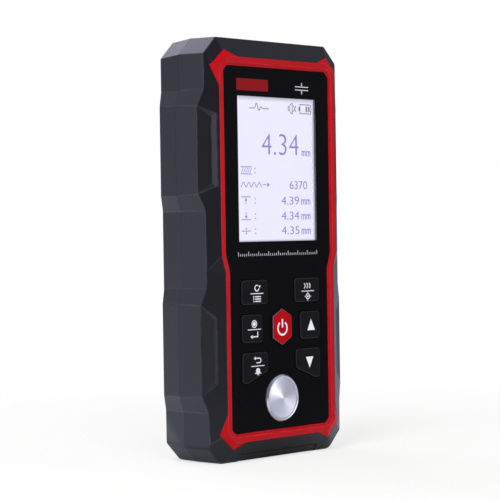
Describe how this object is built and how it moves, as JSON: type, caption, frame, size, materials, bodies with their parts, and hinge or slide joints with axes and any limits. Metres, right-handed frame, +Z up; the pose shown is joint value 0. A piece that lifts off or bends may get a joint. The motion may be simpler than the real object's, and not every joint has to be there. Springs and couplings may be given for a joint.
{
  "type": "ultrasonic thickness gauge",
  "caption": "Upright handheld ultrasonic thickness gauge with display, sprung keys, steel calibration block, battery door and probe sockets in a ridged black case with red trim.",
  "frame": {"origin": "middle of the base, on the floor that the gauge stands on", "axes": "+Z up along the case, +Y from the panel to the back, +X to the right as seen from the front"},
  "size_m": [0.0712, 0.0292, 0.143],
  "materials": {
    "case_black": "fine moulded grain, satin",
    "door_black": "fine moulded grain, satin",
    "trim_red": "satin moulded red",
    "panel_black": "polished black",
    "window_clear": "clear polished",
    "display_pale": "pale backlit display",
    "backlight_white": "white diffuser",
    "ribbon_amber": "amber film",
    "key_black": "soft black",
    "key_red": "satin red",
    "mat_grey": "soft grey",
    "block_steel": "spun face, polished rim",
    "board_green": "solder mask",
    "switch_steel": "stamped",
    "chip_black": "moulded",
    "shield_tin": "tinned sheet",
    "screw_steel": "plated",
    "socket_chrome": "bright plated",
    "nut_steel": "plated",
    "contact_brass": "plain",
    "cell_wrap": "printed sleeve",
    "contact_steel": "nickel plated"
  },
  "bodies": {
    "case": {"front_shell": "case_black", "rear_shell": "case_black", "front_frame": "trim_red", "front_panel": "panel_black", "display_window": "window_clear", "display_glass": "display_pale", "display_backlight": "backlight_white", "display_ribbon": "ribbon_amber", "keypad_mat": "mat_grey", "calibration_block": "block_steel", "main_board": "board_green", "key_switches": "switch_steel", "board_chips": "chip_black", "shield_can": "shield_tin", "buzzer": "chip_black", "board_screws": "screw_steel", "case_screws": "screw_steel", "probe_socket_left": "socket_chrome", "probe_socket_right": "socket_chrome", "socket_nuts": "nut_steel", "socket_contacts": "contact_brass", "battery_cell_left": "cell_wrap", "battery_cell_middle": "cell_wrap", "battery_cell_right": "cell_wrap", "battery_springs": "contact_steel", "battery_plates": "contact_steel"},
    "key_menu": {"key_menu": "key_black"},
    "key_enter": {"key_enter": "key_black"},
    "key_back": {"key_back": "key_black"},
    "key_calibrate": {"key_calibrate": "key_black"},
    "key_up": {"key_up": "key_black"},
    "key_down": {"key_down": "key_black"},
    "key_power": {"key_power": "key_red"},
    "battery_door": {"battery_door": "door_black"}
  },
  "joints": [
    {"name": "key_menu_press", "type": "slide", "parent": "case", "child": "key_menu", "axis": [0, 1, 0], "range_m": [0, 0.0007], "stiffness_N_per_m": 1500},
    {"name": "key_enter_press", "type": "slide", "parent": "case", "child": "key_enter", "axis": [0, 1, 0], "range_m": [0, 0.0007], "stiffness_N_per_m": 1500},
    {"name": "key_back_press", "type": "slide", "parent": "case", "child": "key_back", "axis": [0, 1, 0], "range_m": [0, 0.0007], "stiffness_N_per_m": 1500},
    {"name": "key_calibrate_press", "type": "slide", "parent": "case", "child": "key_calibrate", "axis": [0, 1, 0], "range_m": [0, 0.0007], "stiffness_N_per_m": 1500},
    {"name": "key_up_press", "type": "slide", "parent": "case", "child": "key_up", "axis": [0, 1, 0], "range_m": [0, 0.0007], "stiffness_N_per_m": 1500},
    {"name": "key_down_press", "type": "slide", "parent": "case", "child": "key_down", "axis": [0, 1, 0], "range_m": [0, 0.0007], "stiffness_N_per_m": 1500},
    {"name": "key_power_press", "type": "slide", "parent": "case", "child": "key_power", "axis": [0, 1, 0], "range_m": [0, 0.0007], "stiffness_N_per_m": 1500},
    {"name": "battery_door_slide", "type": "slide", "parent": "case", "child": "battery_door", "axis": [0, 0, -1], "range_m": [0, 0.056]}
  ]
}
